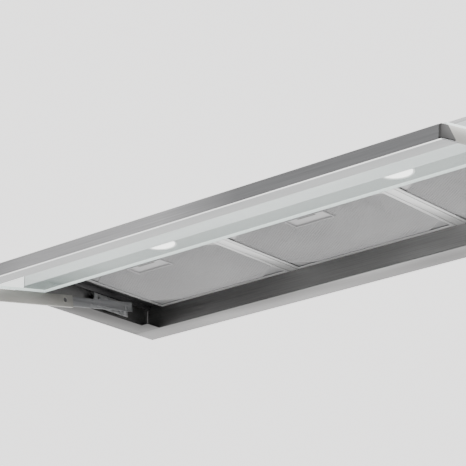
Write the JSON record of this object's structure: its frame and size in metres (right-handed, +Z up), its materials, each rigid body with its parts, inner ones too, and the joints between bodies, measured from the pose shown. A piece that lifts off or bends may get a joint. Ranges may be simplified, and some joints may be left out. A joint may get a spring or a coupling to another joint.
{
  "type": "built-in slide-out cooker hood",
  "caption": "Built-in cooker hood with a steel flange frame, grease filters, lamps and a clear glass visor that slides out on tilted rails.",
  "frame": {"origin": "middle of the rear flange strip's upper face, where the hood seats against the cabinet", "axes": "+X to the right along the hood, +Y to the wall, +Z up; the visor slides out towards -Y"},
  "size_m": [0.898, 0.4853, 0.199],
  "materials": {
    "brushed_flange": "brushed, satin",
    "brushed_fascia": "brushed along its length",
    "galvanised": "galvanised sheet, matt",
    "dark_paint": "dark grey, satin",
    "filter_frame": "anodised, satin",
    "filter_mesh": "fine expanded mesh",
    "rail_aluminium": "anodised, matt",
    "rail_steel": "zinc plated",
    "cap_plastic": "moulded, matt",
    "black_plastic": "moulded, matt",
    "grey_plastic": "moulded, satin",
    "handle_plastic": "moulded, satin",
    "lamp_lens": "frosted diffuser",
    "pane_glass": "clear float glass, slightly green"
  },
  "bodies": {
    "housing": {"flange_back": "brushed_flange", "flange_left": "brushed_flange", "flange_right": "brushed_flange", "body_shell": "galvanised", "side_plate_left": "galvanised", "side_plate_right": "galvanised", "lamp_bar": "brushed_flange", "lamp_lens_left": "lamp_lens", "lamp_lens_right": "lamp_lens", "lamp_housing_left": "galvanised", "lamp_housing_right": "galvanised", "control_panel": "black_plastic", "divider_left": "filter_frame", "divider_right": "filter_frame", "side_ledge_left": "filter_frame", "side_ledge_right": "filter_frame", "rear_ledge": "galvanised", "rail_bracket_left": "galvanised", "rail_bracket_right": "galvanised", "pivot_bolt_left": "rail_steel", "pivot_bolt_right": "rail_steel", "blower_box": "galvanised", "blower_scroll": "galvanised", "scroll_side_left": "galvanised", "scroll_side_right": "galvanised", "fan_motor": "dark_paint", "motor_bracket": "galvanised", "duct_collar": "black_plastic", "flap_axle": "rail_steel", "terminal_box": "black_plastic", "cable_gland": "grey_plastic", "capacitor": "grey_plastic", "microswitch": "black_plastic"},
    "rails": {"inner_rail_left": "rail_steel", "inner_rail_right": "rail_steel"},
    "visor": {"outer_channel_left": "rail_aluminium", "outer_channel_right": "rail_aluminium", "glass_pane": "pane_glass", "fascia": "brushed_fascia", "end_cap_left": "cap_plastic", "end_cap_right": "cap_plastic"},
    "fan": {"impeller": "black_plastic", "fan_shaft": "rail_steel"},
    "flap": {"damper_flap": "grey_plastic"},
    "light_button": {"light_button": "grey_plastic"},
    "fan_button": {"fan_button": "grey_plastic"},
    "switch_plunger": {"switch_plunger": "grey_plastic"},
    "filter_left": {"filter_frame_left": "filter_frame", "filter_mesh_left": "filter_mesh", "filter_handle_left": "handle_plastic"},
    "latch_left": {"filter_latch_left": "black_plastic"},
    "filter_centre": {"filter_frame_centre": "filter_frame", "filter_mesh_centre": "filter_mesh", "filter_handle_centre": "handle_plastic"},
    "latch_centre": {"filter_latch_centre": "black_plastic"},
    "filter_right": {"filter_frame_right": "filter_frame", "filter_mesh_right": "filter_mesh", "filter_handle_right": "handle_plastic"},
    "latch_right": {"filter_latch_right": "black_plastic"}
  },
  "joints": [
    {"name": "visor_tilt", "type": "hinge", "parent": "housing", "child": "rails", "pos_m": [0, -0.0905, 0.0125], "axis": [-1, 0, 0], "range_deg": [0, 2.5]},
    {"name": "visor_slide", "type": "slide", "parent": "rails", "child": "visor", "axis": [0, 0.9842, 0.1771], "range_m": [0, 0.166]},
    {"name": "fan_spin", "type": "hinge", "parent": "housing", "child": "fan", "pos_m": [0, -0.078, 0.079], "axis": [1, 0, 0], "continuous": true},
    {"name": "flap_swing", "type": "hinge", "parent": "housing", "child": "flap", "pos_m": [0, -0.041, 0.123], "axis": [-1, 0, 0], "range_deg": [0, 75]},
    {"name": "light_press", "type": "slide", "parent": "housing", "child": "light_button", "axis": [0, 0, 1], "range_m": [0, 0.0015], "stiffness_N_per_m": 400, "springref_m": -0.0008},
    {"name": "fan_press", "type": "slide", "parent": "housing", "child": "fan_button", "axis": [0, 0, 1], "range_m": [0, 0.0015], "stiffness_N_per_m": 400, "springref_m": -0.0008},
    {"name": "switch_press", "type": "slide", "parent": "housing", "child": "switch_plunger", "axis": [0, 1, 0], "range_m": [0, 0.002], "stiffness_N_per_m": 300, "springref_m": -0.001},
    {"name": "filter_left_swing", "type": "hinge", "parent": "housing", "child": "filter_left", "pos_m": [0, -0.0212, 0.0298], "axis": [1, 0, 0], "range_deg": [0, 60]},
    {"name": "latch_left_slide", "type": "slide", "parent": "filter_left", "child": "latch_left", "axis": [0, 1, 0], "range_m": [0, 0.006], "stiffness_N_per_m": 300, "springref_m": -0.002},
    {"name": "filter_centre_swing", "type": "hinge", "parent": "housing", "child": "filter_centre", "pos_m": [0, -0.0212, 0.0298], "axis": [1, 0, 0], "range_deg": [0, 60]},
    {"name": "latch_centre_slide", "type": "slide", "parent": "filter_centre", "child": "latch_centre", "axis": [0, 1, 0], "range_m": [0, 0.006], "stiffness_N_per_m": 300, "springref_m": -0.002},
    {"name": "filter_right_swing", "type": "hinge", "parent": "housing", "child": "filter_right", "pos_m": [0, -0.0212, 0.0298], "axis": [1, 0, 0], "range_deg": [0, 60]},
    {"name": "latch_right_slide", "type": "slide", "parent": "filter_right", "child": "latch_right", "axis": [0, 1, 0], "range_m": [0, 0.006], "stiffness_N_per_m": 300, "springref_m": -0.002}
  ]
}
